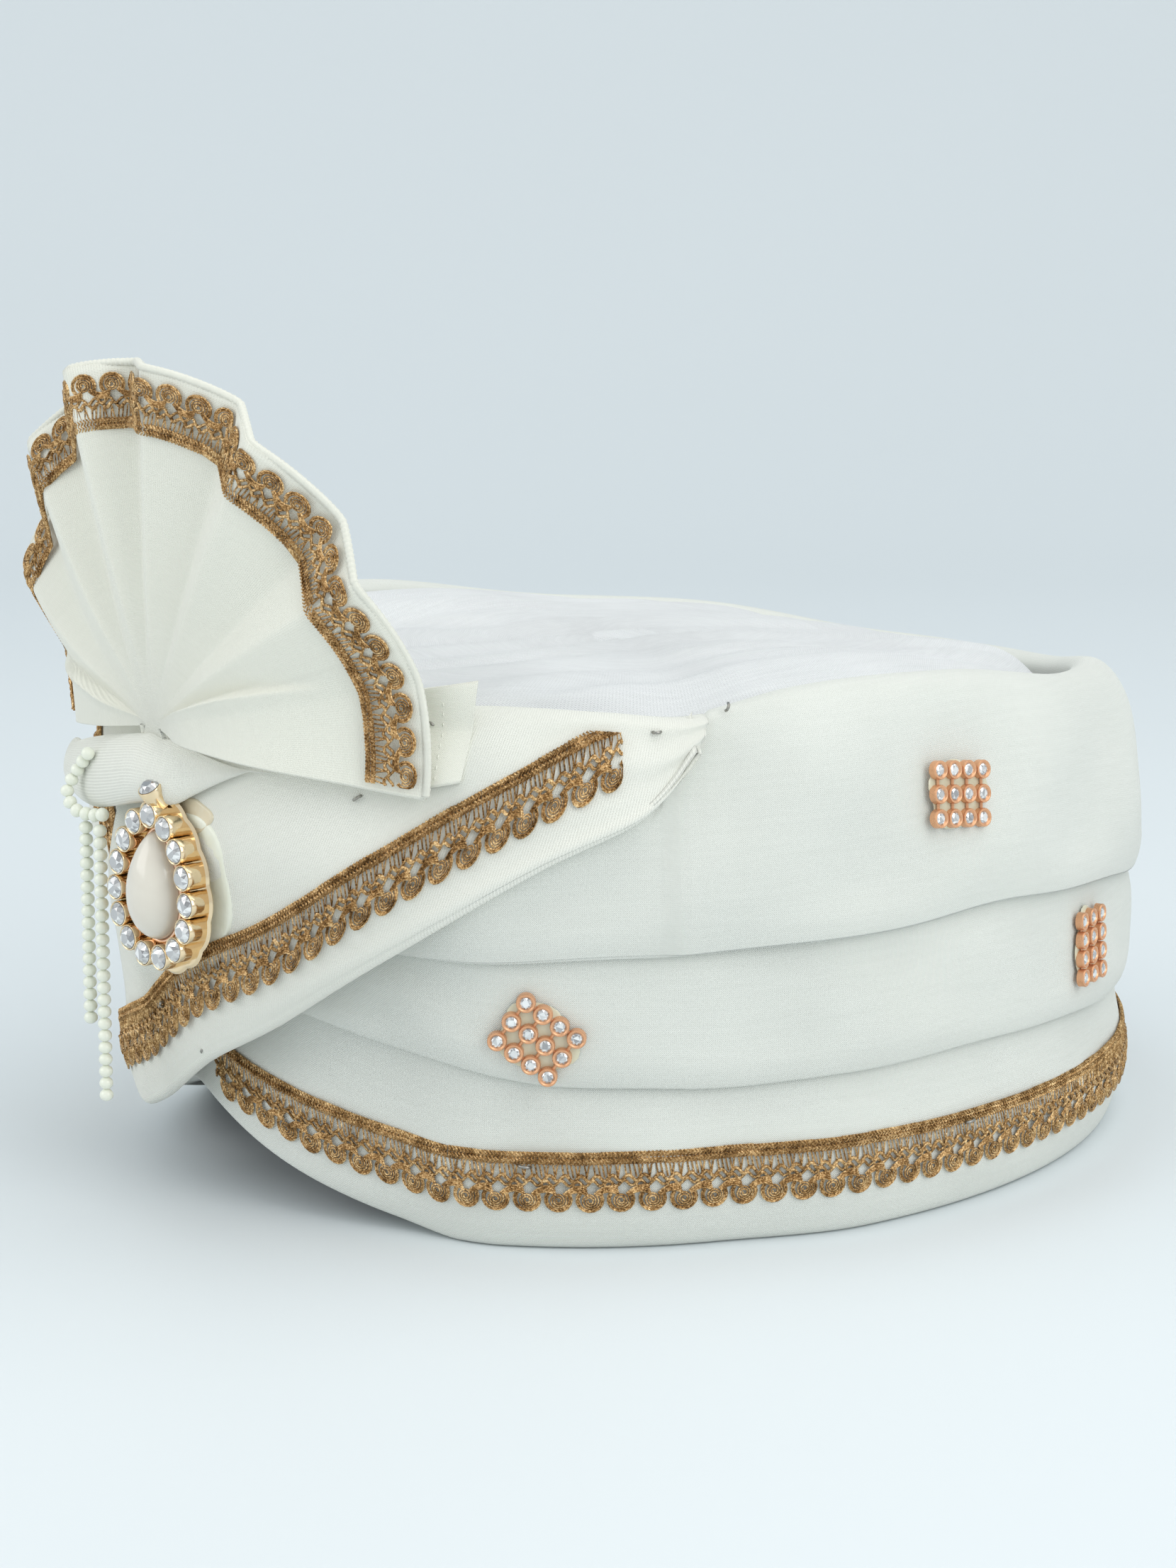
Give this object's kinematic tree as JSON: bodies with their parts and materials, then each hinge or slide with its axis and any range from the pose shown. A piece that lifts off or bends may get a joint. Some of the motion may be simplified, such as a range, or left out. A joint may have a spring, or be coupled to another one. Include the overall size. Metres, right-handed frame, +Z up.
{
  "type": "turban",
  "caption": "Ready-made groom's turban: three wrapped cloth bands with gold lace, crossed front wraps, a pleated half-round fan and a pearl brooch with strings of beads.",
  "frame": {"origin": "on the surface that the hem stands on, under the middle of the whole turban with its fan", "axes": "+X towards the wearer's left, +Y towards the back of the head, +Z up; the brooch and fan face -Y"},
  "size_m": [0.22, 0.2684, 0.1799],
  "materials": {
    "off_white_cloth": "matt off-white crepe",
    "grey_white_mesh_cloth": "fine twill mesh",
    "dark_grey_padding": "matt lining over padding",
    "antique_gold_lace": "metallic thread lace",
    "pale_gilt_metal": "polished pale gilt",
    "copper_coloured_metal": "polished copper-coloured cups with clear stones",
    "clear_cut_stone": "clear facetted",
    "pearl_coating": "cream pearl lustre",
    "pale_green_pearl": "pale greenish pearl lustre"
  },
  "bodies": {
    "root": {"brooch_pearl": "pearl_coating", "brooch_setting": "pale_gilt_metal", "brooch_stone_01": "clear_cut_stone", "brooch_stone_02": "clear_cut_stone", "brooch_stone_03": "clear_cut_stone", "brooch_stone_04": "clear_cut_stone", "brooch_stone_05": "clear_cut_stone", "brooch_stone_06": "clear_cut_stone", "brooch_stone_07": "clear_cut_stone", "brooch_stone_08": "clear_cut_stone", "brooch_stone_09": "clear_cut_stone", "brooch_stone_10": "clear_cut_stone", "brooch_stone_11": "clear_cut_stone", "brooch_stone_12": "clear_cut_stone", "brooch_stone_13": "clear_cut_stone", "brooch_stone_14": "clear_cut_stone", "brooch_stone_15": "clear_cut_stone", "brooch_stone_16": "clear_cut_stone", "crown_cloth": "grey_white_mesh_cloth", "fan": "off_white_cloth", "fan_end_left": "off_white_cloth", "fan_end_right": "off_white_cloth", "fan_lace": "antique_gold_lace", "front_knot": "off_white_cloth", "front_lace_left": "antique_gold_lace", "front_lace_right": "antique_gold_lace", "front_wrap_left": "off_white_cloth", "front_wrap_right": "off_white_cloth", "hem_lace": "antique_gold_lace", "inner_cap": "dark_grey_padding", "lower_band": "off_white_cloth", "middle_band": "off_white_cloth", "pearl_strand_long": "pale_green_pearl", "pearl_strand_short": "pale_green_pearl", "pearl_swag": "pale_green_pearl", "stone_patch_back_left": "copper_coloured_metal", "stone_patch_back_right": "copper_coloured_metal", "stone_patch_front_left": "copper_coloured_metal", "stone_patch_front_right": "copper_coloured_metal", "stone_patch_side_left": "copper_coloured_metal", "stone_patch_side_right": "copper_coloured_metal", "top_band": "off_white_cloth"}
  },
  "joints": []
}
